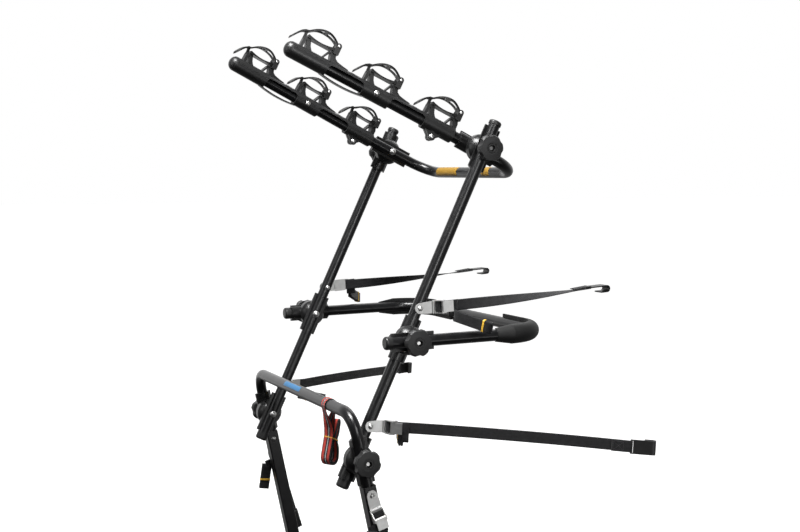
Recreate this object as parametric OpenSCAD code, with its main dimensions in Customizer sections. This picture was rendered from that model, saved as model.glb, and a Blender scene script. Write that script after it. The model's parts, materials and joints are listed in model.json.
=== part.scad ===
// Trunk mounted bike rack: two leaning uprights, three folding bent bars on clamp joints with star knobs,
// two moulded cradle beams for three bikes, square legs with rubber feet, and six cam buckle straps with
// hooks.
// Millimetres. +X is the car's right, +Y points forward to the car, +Z is up.
// The origin lies midway between the soles of the two feet.

/* [Tubes] */
// Outside diameter of the round frame tube
tube_d = 27; // [22:0.5:27]
// Wall of the round frame tube
tube_wall = 1.5; // [1:0.1:2.5]

/* [Uprights] */
// Distance between the axes of the two uprights
upright_spacing = 577; // [480:1:680]
// Lean of the uprights towards the car, from vertical
upright_lean = 25.2; // [15:0.1:32]
// Lower pivot to middle pivot, along the upright
lower_to_middle = 285; // [250:1:330]
// Middle pivot to top pivot, along the upright
middle_to_top = 473; // [400:1:540]
// Length of upright above the top pivot
upright_above = 66; // [60:1:90]
// Length of upright below the lower pivot
upright_below = 70; // [60:1:90]

/* [Clamp joints] */
// Distance between the axes of the two tubes that a joint clamps together
joint_pitch = 46; // [42:0.5:56]
// Diameter of a joint shell's round friction face
joint_d = 66; // [60:1:74]
// Thickness of the straight rim behind the friction face
joint_rim = 7; // [5:0.5:10]
// Length of the saddle that holds the tube
saddle_len = 104; // [90:1:108]
// Wall of the saddle round the tube
saddle_wall = 5.5; // [4:0.5:7]
// Number of grooves in a friction face
joint_grooves = 24; // [12:4:36]
// Pivot bolt diameter
bolt_d = 8; // [6:0.5:9]
// Diameter of a pivot bolt's domed head
bolt_head_d = 18; // [15:0.5:21]
// Diameter of a knob over its lobes
knob_d = 62; // [54:1:70]
// Number of lobes on a knob
knob_lobes = 6; // [5:1:8]
// Thickness of a knob's lobed part
knob_t = 18; // [15:0.5:22]

/* [Carrier] */
// Rise of the carrier arms above level, to the rear
arm_tilt = 26.1; // [10:0.1:35]
// Top pivot to the tip of a cradle beam
arm_reach = 505; // [495:1:560]
// Angle by which each arm turns in behind its joint
arm_toe = 4.6; // [3:0.1:6]
// Top pivot to the carrier's crossbar, towards the car
crossbar_offset = 125; // [122:1:150]
// Bend radius of the carrier's two corners
top_bend = 68; // [50:1:70]

/* [Cradles] */
// Outside diameter of a cradle beam
beam_d = 37; // [34:0.5:41]
// Top pivot to the first cradle's centre
cradle_first = 114; // [112:0.5:120]
// Distance from one cradle to the next
cradle_pitch = 161.5; // [150:0.5:165]
// Height of the saddle's seat above the arm's axis
seat_h = 39.5; // [37:0.5:44]
// Width of a rubber saddle
saddle_pad_w = 26; // [22:1:30]
// Width of the rubber band over a cradle
band_w = 22; // [18:1:26]
// Thickness of the rubber band
band_t = 4; // [3:0.5:4.5]

/* [Window support] */
// Middle pivot to the window support's crossbar
window_reach = 332; // [300:1:420]
// Rise of the window support above level
window_tilt = 1; // [-3:0.5:3]
// Bend radius of the window support's two corners
window_bend = 85; // [70:1:110]
// Length of the window support's arms behind the pivot
window_tail = 66; // [60:1:90]
// Thickness of the rubber corner pads
pad_t = 9; // [6:0.5:12]

/* [Lower support] */
// Angle of the legs from vertical, feet towards the car
leg_tilt = 12; // [4:0.5:20]
// Lower pivot to the lower crossbar, up along the leg line
lower_rise = 106; // [104:1:140]
// Bend radius of the lower bar's two corners
lower_bend = 53; // [44:1:53]
// Lower pivot to the sole of a foot, along the leg
leg_drop = 420; // [330:1:520]
// Lower pivot to the top end of the square leg
leg_start = 56; // [54:1:62]
// Outside size of the square leg tube
leg_size = 30.5; // [30.5:0.5:33]
// Wall of the square leg tube
leg_wall = 1.5; // [1:0.1:1.6]

/* [Straps] */
// Pivot to strap anchor bolt, along the upright or the leg
anchor_offset = 76; // [74:1:84]
// Strap anchor bolt diameter
anchor_bolt_d = 6; // [5:0.5:7]
// Width of the webbing
strap_w = 25; // [20:1:28]
// Thickness of the webbing
strap_t = 1.5; // [1.2:0.1:1.8]
// Anchor to hook of the upper straps
upper_len = 440; // [300:5:520]
// Anchor to hook of the side straps
side_len = 575; // [300:5:640]
// Anchor to hook of the lower straps
lower_len = 220; // [200:5:260]
// Rise of the upper straps above level
upper_slope = 3.9; // [2:0.1:10]
// Rise of the side straps above level
side_slope = -3.2; // [-6:0.1:6]
// Angle by which the side straps turn outward
side_splay = 34; // [20:1:44]
// Angle of the lower straps forward of vertical
lower_lean = 16.5; // [14:0.5:20]
// Layers in a folded strap tail
tail_layers = 5; // [3:2:5]
// Length of the upper and side straps' folded tails
tail_len = 100; // [70:1:110]
// Length of the lower straps' folded tails
lower_tail_len = 64; // [50:1:80]
// Turns in the wound tie strap
tie_turns = 4; // [2:1:5]
// Length of the wound tie strap
tie_len = 115; // [95:1:130]
// Width of the eye at the tie strap's foot
tie_eye = 20; // [14:1:24]
// Distance of the tie strap from the rack's middle
tie_x = 190; // [60:1:200]

/* [Hidden] */
$fn = 48;

// Clearances
tube_fit = 0.2;
bolt_fit = 0.25;
turn_fit = 0.05;
joint_gap = 0.4;
side_gap = 0.3;
head_gap = 0.1;
over = 1;

// Places of the tubes and pivots, pivots as [y, z]
tube_r = tube_d / 2;
bolt_hole_d = bolt_d + 2 * bolt_fit;
upright_x = upright_spacing / 2;
outer_x = upright_x + joint_pitch;
inner_x = upright_x - joint_pitch;
low_pivot = [-leg_drop * sin(leg_tilt), leg_drop * cos(leg_tilt)];
up_along = [sin(upright_lean), cos(upright_lean)];
middle_pivot = low_pivot + lower_to_middle * up_along;
top_pivot = middle_pivot + middle_to_top * up_along;
pivots_up = [0, lower_to_middle, lower_to_middle + middle_to_top];

// Clamp joint
joint_r = joint_d / 2;
joint_face = (joint_pitch - joint_gap) / 2;
saddle_r = tube_r + saddle_wall;
dome_start_r = saddle_r + 2;
dome_h = joint_face - joint_rim;
dome_rise = (joint_r ^ 2 - dome_start_r ^ 2 - dome_h ^ 2) / (2 * dome_h);
dome_r = sqrt(joint_r ^ 2 + dome_rise ^ 2);
lip_w = 3;
lip_h = 5;
groove_w = 2;
groove_depth = 1;
groove_in = bolt_d / 2 + 8;
groove_out = joint_r - 4;
rib_w = 2;
rib_depth = 1.2;
rib_len = 16;
rib_turn = 28;
bolt_head_h = 5.5;
knob_r = knob_d / 2;
knob_hub_r = 15;
knob_hub_h = 7;
knob_edge = 3;
knob_front = tube_r + side_gap + knob_hub_h + knob_t;
knob_recess_r = 7;
knob_recess_h = 9;
knob_ring_r = 12;
knob_ring_w = 1.6;
knob_ring_h = 1.2;
scallop_r = 16;
scallop_depth = 4.5;
bolt_reach = knob_front - knob_recess_h + 3;

// End caps
cap_wall = 1.5;
cap_end = 3;
cap_round = 5;
top_cap_len = 10;
cap_gap = 1;
bottom_cap_len = upright_below - saddle_len / 2 - cap_gap + cap_end;
middle_cap_len = window_tail - saddle_len / 2 - cap_gap + cap_end;

// Carrier: just behind its joint the arm turns in and is drawn down a little, and the cradle beam starts
// a short way further out
toe_at = saddle_len / 2 + 11;
toe_lap = 3;
toe_step = 0.5;
beam_gap = 5;
beam_bore_r = tube_r - toe_step + tube_fit;
beam_start = toe_at + beam_gap;
beam_len = arm_reach - beam_start;
beam_r = beam_d / 2;
beam_end_wall = 8;
nose_r = 16.5;
cradles = [for (i = [0 : 2]) cradle_first - beam_start + i * cradle_pitch];
sleeve_fore = 37;
sleeve_aft = 33;
window_top = 8;
window_r = 11;
window_low = beam_r + over;
bow_depth = 5;
bow_t = 3;
bow_w = 12;
bow_grip = 10;
bow_seat = (beam_r + tube_r) / 2 + 1;
post_sink = 4;
post_w = 18;
post_base = beam_r - post_sink;
head_h = 5;
hinge_at = [-40, seat_h + 14.5];
hinge_r = 2.5;
barrel_r = 5.5;
cheek_r = 6.5;
cheek_t = 4;
cheek_in = band_w / 2 + 0.4;
head_w = 2 * (cheek_in + cheek_t);
peg_w = 6;
peg_at = [33.5, 39.5];
peg_h = seat_h + 17;
peg_lip = 3;
saddle_from = -33;
saddle_to = 31;
saddle_end_h = 7.5;
saddle_dip = 5;
arch_centre = [-4, hinge_at[1] - 32];
arch_r = norm(hinge_at - arch_centre);
arch_from = atan2(hinge_at[1] - arch_centre[1], hinge_at[0] - arch_centre[0]);
arch_to = 52;
band_slot_w = peg_w + 3;
band_slot = [peg_at[0] - 3, peg_at[1] + peg_lip + 3];
band_windows = [[-33, -8], [-3, 22]];
band_window_w = 11;
band_tip = [68, 22];
beam_bolt_d = 6;
beam_bolt_head_d = 13;
beam_bolt_head_h = 3.5;
lug_r = 9;
lug_drop = beam_r + 8;
lug_w = 20;
lug_flare = 24;
lug_slit = 3;

// Window support pads
pad_fit = 0.2;
pad_run = 105;
pad_back = 2;
pad_taper = 40;
pad_edge = 2;
pad_lap = 0.5;
pad_step = 0.2;

// Lower support
leg_round = 3;
leg_inner = leg_size - 2 * leg_wall;
leg_arm_end = anchor_offset + 24;
leg_foot = 16;
foot_wall = 5;
foot_h = 44;
foot_sole = [58, 50, 8];
sole_round = 10;
foot_grooves = [-18, 18];
foot_groove = [4, 1.5];

// Straps: each kind is [slope, splay, twist, length, tail length, tail start with the run before its first
// fold, turn of the tail, side of the hook]
UPPER = 0;
SIDE = 1;
LOWER = 2;
strap_kinds = [
    [upper_slope, 0, -90, upper_len, tail_len, [48, 22, 7], [-17, 54, 0], -1],
    [side_slope, side_splay, 0, side_len, tail_len, [46, 27, 0], [0, -103, 0], -1],
    [lower_lean - 90, 0, 0, lower_len, lower_tail_len, [42, 27, 0], [-25, 0, 0], 1]];
plate_t = 2.5;
eye_r = 12;
plate_w = strap_w + 2;
plate_len = 29;
anchor_head_d = 12;
anchor_head_h = 4;
hinge_bar_r = 3;
hinge_bar_z = plate_len + hinge_bar_r - 0.5;
base_t = 2;
base_len = 30;
ear_t = 2;
ear_in = strap_w / 2 + 0.6;
ear_h = 17;
layer_gap = 0.4;
strap_low = base_t + layer_gap + strap_t / 2;
turn_bar_r = 1.5;
turn_r = turn_bar_r + layer_gap + strap_t / 2;
turn_bar = [hinge_bar_r + 6, strap_low + turn_r];
strap_high = strap_low + 2 * turn_r;
cam_r = 4;
cam_pin_r = 2;
cam_pin = [turn_bar[0] + 12, strap_high + strap_t / 2 + layer_gap + cam_r];
lever_t = 2;
lever_len = 23;
lever_gap = 0.4;
tail_gap = 0.7;
tail_pitch = strap_t + tail_gap;
tail_lead = 56;
arc_parts = 6;
doubled = 42;
lap_step = 4;
twist_grip = 0.4;
flap_t = strap_t - 0.2;
flap_w = strap_w - 0.2;
hook_t = 3;
hook_w = strap_w + 6;
hook_bar_r = 2;
hook_plate = 40;
hook_bend = 7;
hook_return = 16;
hook_arm_w = 2.6;
twist_slices = 12;

// Tie strap: turns wound round a wide foot and a narrow head, hung by a loop on the lower crossbar
tie_lean = 15.6;
tie_hang = 76;
tie_fork = 54;
tie_end = 8;
tie_head_r = 1.5;
tie_foot_r = tie_eye / 2;
tie_step = 15;
tie_steps = tie_turns * 360 / tie_step;
tie_grow = tie_turns * tail_pitch;
tie_rise = tie_len - 2 * tie_grow - tie_head_r - tie_foot_r - strap_t;
tie_loop_r = tube_r + side_gap + strap_t / 2;

function reverse(list) = [for (i = [len(list) - 1 : -1 : 0]) list[i]];
function arc(c, r, from, to, n) = [for (i = [0 : n])
    let (a = from + (to - from) * i / n) c + r * [cos(a), sin(a)]];
function heading(p, i) = let (d = p[min(i + 1, len(p) - 1)] - p[max(i - 1, 0)]) d / norm(d);
function offset_line(p, d) = [for (i = [0 : len(p) - 1])
    p[i] + d * [-heading(p, i)[1], heading(p, i)[0]]];
function ribbon(p, t) = concat(offset_line(p, t / 2), reverse(offset_line(p, -t / 2)));
// A folded strip: runs of the given length side by side, joined by half turns
function half_turn(at, pitch, way) = [for (k = [1 : arc_parts - 1])
    let (a = 180 * k / arc_parts) at + pitch / 2 * [way * sin(a), -cos(a)]];
function folded(n, run, pitch) = [for (i = [0 : n - 1])
    let (out = i % 2 == 0, near = [0, i * pitch], far = [run, i * pitch])
    each concat(out ? [near, far] : [far, near],
        i == n - 1 ? [] : half_turn((out ? far : near) + [0, pitch / 2], pitch, out ? 1 : -1))];
function tail_line(run, lead) = concat([[0, 0]],
    [for (p = folded(tail_layers, run - lead, tail_pitch)) if (p != [0, 0] || lead > 0) p + [lead, 0]]);
// Least gap of a folded strip to itself, from the points of each run to the next run but its own turn
function run_gap(p, t) = min([for (i = [0 : len(p) - 1])
    for (k = [i + arc_parts + 1 : len(p) - 1]) norm(p[i] - p[k])]) - t;
// A point of the wound tie strap, from the foot's centre, for the direction it faces and its distance out
function tie_point(a, out) = let (head = tie_rise * sin(a) + tie_head_r > tie_foot_r)
    [0, head ? tie_rise : 0] + ((head ? tie_head_r : tie_foot_r) + out) * [cos(a), sin(a)];
function tie_turned(p) = [cos(tie_lean) * p[0] + sin(tie_lean) * p[1],
    cos(tie_lean) * p[1] - sin(tie_lean) * p[0]];
tie_waist = [-(tie_foot_r + tie_head_r) / 2 - tie_grow, tie_rise / 2];
tie_loop_turn = acos(tie_loop_r / tie_fork);
// The whole strip from its inner end, in [y, z] from the crossbar's axis: turns, waist, loop, free end
tie_path = concat(
    [for (i = [0 : tie_steps]) [-tail_pitch / 2, -tie_hang]
        + tie_turned(tie_point(180 + (tie_steps - i) * tie_step,
            tail_pitch * i / tie_steps * tie_turns) - tie_waist)],
    [[-tail_pitch / 2, -tie_hang], [-tail_pitch / 2, -tie_fork]],
    arc([0, 0], tie_loop_r, 270 - tie_loop_turn, tie_loop_turn - 90, 24),
    [[tail_pitch / 2, -tie_fork], [tail_pitch / 2, -tie_fork - tie_end]]);
for (length = [tail_len, lower_tail_len])
    echo("least gap in a folded tail", length, run_gap(folded(tail_layers, length, tail_pitch), strap_t));
echo("least gap in the wound tie strap", run_gap(tie_path, strap_t));

// Frames: the upright's Z runs up the tube, the carrier's along the arm to its tip with Y up,
// the window support's forward with Y down, and the lower support's up the leg with Y forward.
module at_pivot(p, turn) { translate([0, p[0], p[1]]) rotate([turn, 0, 0]) children(); }
module upright_frame() { at_pivot(low_pivot, -upright_lean) children(); }
module carrier_frame() { at_pivot(top_pivot, 90 - arm_tilt) children(); }
module window_frame() { at_pivot(middle_pivot, window_tilt - 90) children(); }
module lower_frame() { at_pivot(low_pivot, leg_tilt) children(); }
module toe_frame() { translate([inner_x, 0, toe_at]) rotate([0, -arm_toe, 0]) children(); }
module beam_frame() { carrier_frame() toe_frame() translate([0, 0, beam_gap]) children(); }
module on_left() { mirror([1, 0, 0]) children(); }
module both() { for (m = [0, 1]) mirror([m, 0, 0]) children(); }
module along_x() { rotate([0, 90, 0]) children(); }
// A side view drawn as [along Z, along Y], spread over a width in X
module from_side(w) { rotate([0, -90, 0]) linear_extrude(w, center = true) children(); }
// A quarter bend in the XZ plane, starting beyond angle 'from' measured from +X to +Z
module bend(r, d, from, angle) {
    rotate([90, 0, 0]) rotate([0, 0, from]) rotate_extrude(angle = angle) translate([r, 0]) circle(d = d);
}
module dome(d, h) {
    big = ((d / 2) ^ 2 + h ^ 2) / (2 * h);
    rotate_extrude() intersection() { translate([0, h - big]) circle(r = big); square([d / 2, h]); }
}
module rounded_square(size, r) {
    square([size - 2 * r, size], center = true);
    square([size, size - 2 * r], center = true);
    for (x = [-1, 1], y = [-1, 1]) translate([x, y] * (size / 2 - r)) circle(r);
}

// A slot with round ends, from one Y to another
module slot(from, to, w) {
    for (y = [from + w / 2, to - w / 2]) translate([0, y]) circle(d = w);
    translate([-w / 2, from + w / 2]) square([w, to - from - w]);
}

// Sleeve cap over a tube's end: the tube ends at z = 0 and the cap's closed end lies above
module sleeve_cap(length) {
    r = tube_r + cap_wall;
    difference() {
        union() {
            translate([0, 0, cap_end - length]) cylinder(r = r, h = length - cap_round);
            translate([0, 0, cap_end - cap_round]) rotate_extrude() {
                square([r - cap_round, cap_round]);
                intersection() { translate([r - cap_round, 0]) circle(cap_round); square([r, cap_round]); }
            }
        }
        translate([0, 0, -length]) cylinder(r = tube_r + tube_fit, h = length);
    }
}

// Half shell of a clamp joint: its tube runs along Z through the origin and its face looks along +X
module joint_half() {
    difference() {
        union() {
            along_x() rotate_extrude() {
                translate([0, dome_h]) square([joint_r, joint_rim]);
                intersection() {
                    translate([0, dome_h + dome_rise]) circle(dome_r);
                    square([joint_r, dome_h]);
                }
            }
            intersection() {
                cylinder(r = saddle_r, h = saddle_len, center = true);
                translate([0, -saddle_r, -saddle_len / 2]) cube([saddle_r, 2 * saddle_r, saddle_len]);
            }
            for (s = [-1, 1]) translate([0, s * saddle_r - lip_w / 2, -saddle_len / 2])
                cube([lip_h, lip_w, saddle_len]);
        }
        cylinder(r = tube_r + tube_fit, h = saddle_len + 2 * over, center = true);
        along_x() cylinder(d = bolt_hole_d, h = joint_pitch);
        for (i = [1 : joint_grooves]) rotate([i * 360 / joint_grooves, 0, 0])
            translate([joint_face - groove_depth, groove_in, -groove_w / 2])
                cube([groove_depth + over, groove_out - groove_in, groove_w]);
        for (e = [-1, 1], k = [-1 : 1])
            translate([0, 0, e * (saddle_len - rib_len) / 2]) rotate([0, 0, k * rib_turn])
            translate([saddle_r - rib_depth, -rib_w / 2, -rib_len / 2])
                cube([rib_depth + over, rib_w, rib_len]);
    }
}

// Star knob on the bolt's end, its tube running along Z through the origin, its face looking along +X
module knob() {
    back = tube_r + side_gap;
    color([0.09, 0.09, 0.1]) difference() {
        along_x() union() {
            translate([0, 0, back]) cylinder(r = knob_hub_r, h = knob_hub_h);
            translate([0, 0, back + knob_hub_h]) intersection() {
                linear_extrude(knob_t) difference() {
                    circle(knob_r);
                    for (i = [1 : knob_lobes]) rotate((i + 0.5) * 360 / knob_lobes)
                        translate([knob_r - scallop_depth + scallop_r, 0]) circle(scallop_r);
                }
                rotate_extrude() polygon([[0, 0], [knob_r - knob_edge, 0], [knob_r, knob_edge],
                    [knob_r, knob_t - 2 * knob_edge], [knob_r - knob_edge, knob_t - knob_edge / 2],
                    [knob_ring_r + knob_edge, knob_t], [0, knob_t]]);
            }
        }
        along_x() cylinder(d = bolt_d + 2 * turn_fit, h = knob_front + over);
        along_x() translate([0, 0, knob_front - knob_recess_h])
            cylinder(r = knob_recess_r, h = knob_recess_h + over);
        along_x() translate([0, 0, knob_front - knob_ring_h]) difference() {
            cylinder(r = knob_ring_r, h = knob_ring_h + over);
            cylinder(r = knob_ring_r - knob_ring_w, h = knob_ring_h + over);
        }
    }
}

// Pivot bolt, centred on its joint: a domed head shaped to the inner tube, and a shank out to the knob
module pivot_bolt() {
    head_at = joint_pitch / 2 + tube_r;
    color([0.75, 0.75, 0.77]) difference() {
        union() {
            along_x() translate([0, 0, -head_at])
                cylinder(d = bolt_d, h = head_at + joint_pitch / 2 + bolt_reach);
            translate([-head_at + bolt_head_h / 2, 0, 0])
                rotate([0, -90, 0]) dome(bolt_head_d, 1.5 * bolt_head_h);
        }
        translate([-joint_pitch / 2, 0, 0]) difference() {
            cylinder(r = tube_r + tube_fit, h = 2 * bolt_head_d, center = true);
            along_x() cylinder(d = bolt_d, h = joint_pitch, center = true);
        }
    }
}

// Through bolt along X with a domed head at both ends, seated on faces a given distance apart
module through_bolt(d, head_d, head_h, grip) {
    color([0.75, 0.75, 0.77]) {
        along_x() cylinder(d = d, h = grip + 2 * head_gap, center = true);
        both() translate([grip / 2 + head_gap, 0, 0]) along_x() dome(head_d, head_h);
    }
}

module upright() {
    color([0.07, 0.07, 0.08]) upright_frame() translate([upright_x, 0, 0]) difference() {
        length = upright_below + pivots_up[2] + upright_above;
        translate([0, 0, -upright_below]) cylinder(d = tube_d, h = length);
        translate([0, 0, -upright_below - over])
            cylinder(d = tube_d - 2 * tube_wall, h = length + 2 * over);
        for (z = pivots_up) translate([0, 0, z]) along_x()
            cylinder(d = bolt_hole_d, h = 2 * tube_d, center = true);
        for (z = [0, lower_to_middle]) translate([0, 0, z + anchor_offset])
            along_x() cylinder(d = anchor_bolt_d + 2 * bolt_fit, h = 2 * tube_d, center = true);
    }
}
module upright_left() { on_left() upright(); }
module upright_right() { upright(); }
module upright_end_caps() {
    color([0.1, 0.1, 0.1]) both() upright_frame() translate([upright_x, 0, 0]) {
        translate([0, 0, pivots_up[2] + upright_above]) sleeve_cap(top_cap_len);
        translate([0, 0, -upright_below]) mirror([0, 0, 1]) sleeve_cap(bottom_cap_len);
    }
}
// At the top the arm lies inside the upright, so that shell faces inward. Below, the bars lie outside.
module upright_joint_shells() {
    color([0.13, 0.13, 0.14]) both() upright_frame() for (z = pivots_up)
        translate([upright_x, 0, z]) rotate([0, 0, z == pivots_up[2] ? 180 : 0]) joint_half();
}
module upright_pivot_bolts() {
    both() upright_frame() for (z = [0, lower_to_middle])
        translate([upright_x + joint_pitch / 2, 0, z]) pivot_bolt();
}
// Anchor bolts go through the upright and the anchor plate on its outer side
module strap_anchor_bolts() {
    both() upright_frame() for (z = [0, lower_to_middle])
        translate([upright_x + (plate_t + side_gap) / 2, 0, z + anchor_offset])
            through_bolt(anchor_bolt_d, anchor_head_d, anchor_head_h, tube_d + plate_t + 2 * side_gap);
}

module top_path(d, extra) {
    corner_z = top_bend - crossbar_offset;
    translate([0, 0, -crossbar_offset]) along_x()
        cylinder(d = d, h = 2 * (inner_x - top_bend), center = true);
    both() {
        translate([inner_x - top_bend, 0, corner_z]) bend(top_bend, d, -90, 90);
        translate([inner_x, 0, corner_z]) cylinder(d = d, h = toe_at + toe_lap - corner_z);
        toe_frame() translate([0, 0, -toe_lap])
            cylinder(d = d - 2 * toe_step, h = toe_lap + beam_gap + beam_len - beam_end_wall + extra);
    }
}
module top_bar() {
    color([0.07, 0.07, 0.08]) difference() {
        carrier_frame() top_path(tube_d, 0);
        carrier_frame() top_path(tube_d - 2 * tube_wall, over);
        both() carrier_frame() translate([inner_x, 0, 0]) along_x()
            cylinder(d = bolt_hole_d, h = 2 * tube_d, center = true);
        both() beam_frame() translate([0, 0, cradles[1]])
            along_x() cylinder(d = beam_bolt_d + 2 * bolt_fit, h = 2 * tube_d, center = true);
    }
}
module top_joint_shells() {
    color([0.13, 0.13, 0.14]) both() carrier_frame() translate([inner_x, 0, 0]) joint_half();
}
module top_pivot_bolts() {
    both() carrier_frame() translate([inner_x + joint_pitch / 2, 0, 0]) pivot_bolt();
}
module beam_bolts() {
    both() beam_frame() {
        translate([0, 0, cradles[1]]) through_bolt(beam_bolt_d, beam_bolt_head_d, beam_bolt_head_h, beam_d);
        translate([0, -lug_drop, cradles[0]])
            through_bolt(beam_bolt_d, beam_bolt_head_d, beam_bolt_head_h, lug_w);
    }
}

// Cradle posts in side view, from the cradle's centre: a fork on the tip side, and on the joint side
// a post that flares along the beam, with a thin strut.
module fork_outline() {
    polygon([[33, post_base], [40, post_base], [38.5, seat_h], [31, seat_h]]);
    polygon([[8, post_base], [13, beam_r + 1], [17, beam_r + 7], [22, seat_h], [31, seat_h],
        [25, post_base]]);
    polygon([[22, seat_h - head_h], [38.5, seat_h - head_h], [38.5, seat_h], [22, seat_h]]);
}
module post_outline() {
    polygon([[-36, post_base], [-30, seat_h - head_h], [-28, seat_h], [-45, seat_h], [-43, seat_h - head_h],
        [-46, beam_r + 8.5], [-53, beam_r + 4], [-66, beam_r + 1.5], [-82, beam_r - 0.5], [-82, post_base]]);
    polygon([[-26, seat_h - 3], [-29.5, seat_h - head_h - 1], [-18.5, post_base], [-14.5, post_base]]);
}
module inner_post_outline() {
    intersection() {
        post_outline();
        translate([-cradles[0], 0]) square([cradle_pitch, seat_h]);
    }
}
module cheek_outline() {
    translate(hinge_at) circle(cheek_r);
    translate([hinge_at[0] - cheek_r, seat_h - head_h])
        square([2 * cheek_r, hinge_at[1] - seat_h + head_h]);
}
module peg_outline() {
    polygon([[peg_at[0], seat_h - head_h], [peg_at[1], seat_h - head_h], [peg_at[1], peg_h - peg_lip],
        [peg_at[1] + peg_lip, peg_h - peg_lip], [peg_at[1], peg_h], [peg_at[0], peg_h]]);
}
module cradle_posts(first) {
    from_side(post_w) { fork_outline(); if (first) inner_post_outline(); else post_outline(); }
    from_side(head_w) translate([hinge_at[0] - cheek_r, seat_h - head_h]) square([2 * cheek_r, head_h]);
    both() translate([cheek_in + cheek_t / 2, 0, 0]) from_side(cheek_t) cheek_outline();
    from_side(peg_w) peg_outline();
}
module window_outline(from, to) {
    mid = window_top - window_r;
    for (z = [from + window_r, to - window_r]) translate([z, mid]) circle(window_r);
    translate([from + window_r, mid]) square([to - from - 2 * window_r, window_r]);
    translate([from, -window_low]) square([to - from, window_low + mid]);
}
// Thin bowed strip that bridges the two outer sleeves below the tube
module bow_outline() {
    from = cradles[1] + sleeve_aft - bow_grip;
    to = cradles[2] - sleeve_fore + bow_grip;
    half = (to - from) / 2;
    big = (half ^ 2 + bow_depth ^ 2) / (2 * bow_depth);
    intersection() {
        translate([(from + to) / 2, big - bow_seat - bow_depth])
            difference() { circle(big + bow_t / 2, $fn = 180); circle(big - bow_t / 2, $fn = 180); }
        translate([from, -2 * beam_d]) square([to - from, 2 * beam_d]);
    }
}
module cradle_beam() {
    color([0.12, 0.12, 0.13]) beam_frame() difference() {
        union() {
            difference() {
                union() {
                    cylinder(r = beam_r, h = beam_len - nose_r);
                    translate([0, 0, beam_len - nose_r]) rotate_extrude() {
                        square([beam_r - nose_r, nose_r]);
                        intersection() {
                            translate([beam_r - nose_r, 0]) circle(nose_r);
                            square([beam_r, nose_r]);
                        }
                    }
                }
                for (i = [0, 1]) from_side(2 * beam_d)
                    window_outline(cradles[i] + sleeve_aft, cradles[i + 1] - sleeve_fore);
            }
            for (i = [0 : 2]) translate([0, 0, cradles[i]]) cradle_posts(i == 0);
            translate([0, 0, cradles[0]]) from_side(lug_w) {
                translate([0, -lug_drop]) circle(lug_r);
                polygon([[-lug_r, -lug_drop], [lug_r, -lug_drop],
                    [lug_flare, -tube_r], [-lug_flare, -tube_r]]);
            }
            from_side(bow_w) bow_outline();
        }
        translate([0, 0, -over]) cylinder(r = beam_bore_r, h = beam_len - beam_end_wall + over + tube_fit);
        translate([0, 0, cradles[1]]) along_x()
            cylinder(d = beam_bolt_d + 2 * bolt_fit, h = 2 * beam_d, center = true);
        translate([0, -lug_drop, cradles[0]]) along_x()
            cylinder(d = beam_bolt_d + 2 * bolt_fit, h = 2 * lug_w, center = true);
        translate([-lug_slit / 2, -lug_drop - lug_r - over, cradles[0] - 2 * lug_r])
            cube([lug_slit, lug_drop + lug_r + over - tube_r, 4 * lug_r]);
        for (z = cradles) translate([0, hinge_at[1], z + hinge_at[0]]) along_x()
            cylinder(r = hinge_r + turn_fit, h = 2 * head_w, center = true);
    }
}
module cradle_beam_left() { on_left() cradle_beam(); }
module cradle_beam_right() { cradle_beam(); }

// Rubber saddle between the post heads, dished for a bike's frame tube
module cradle_saddles() {
    half = (saddle_to - saddle_from) / 2;
    big = (half ^ 2 + saddle_dip ^ 2) / (2 * saddle_dip);
    color([0.2, 0.2, 0.21]) both() beam_frame() for (z = cradles)
        translate([0, 0, z]) from_side(saddle_pad_w) difference() {
        translate([saddle_from, seat_h]) square([2 * half, saddle_end_h]);
        translate([(saddle_from + saddle_to) / 2, seat_h + saddle_end_h - saddle_dip + big])
            circle(big, $fn = 120);
    }
}

// Rubber band over a cradle: it turns on the post's cheeks, arches over the bike's tube,
// drops over the fork's peg and ends in a pull tongue.
function band_line() = concat(arc(arch_centre, arch_r, arch_from, arch_to, 12),
    [[peg_at[0], seat_h + 14.5], [peg_at[1] + 3, seat_h + 12], [peg_at[1] + 9, seat_h + 8],
        [peg_at[1] + 15, seat_h + 1], band_tip]);
module cradle_band(i) {
    color([0.22, 0.22, 0.23]) beam_frame() translate([0, 0, cradles[i]]) {
        difference() {
            union() {
                from_side(band_w) polygon(ribbon(band_line(), band_t));
                from_side(band_w) translate(hinge_at) circle(barrel_r);
            }
            from_side(band_slot_w) translate([band_slot[0], seat_h + side_gap])
                square([band_slot[1] - band_slot[0], 3 * band_t + seat_h]);
            for (w = band_windows) translate([0, seat_h, 0]) rotate([-90, 0, 0])
                linear_extrude(seat_h + beam_d) slot(-w[1], -w[0], band_window_w);
            translate([0, 0, band_tip[0] - band_w / 2]) rotate([-90, 0, 0])
                linear_extrude(2 * seat_h) difference() {
                translate([-band_w, -band_w]) square([2 * band_w, band_w]);
                circle(d = band_w);
            }
        }
        translate([0, hinge_at[1], hinge_at[0]]) along_x() cylinder(r = hinge_r, h = head_w, center = true);
    }
}
module cradle_band_left_inner() { on_left() cradle_band(0); }
module cradle_band_left_middle() { on_left() cradle_band(1); }
module cradle_band_left_outer() { on_left() cradle_band(2); }
module cradle_band_right_inner() { cradle_band(0); }
module cradle_band_right_middle() { cradle_band(1); }
module cradle_band_right_outer() { cradle_band(2); }

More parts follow.
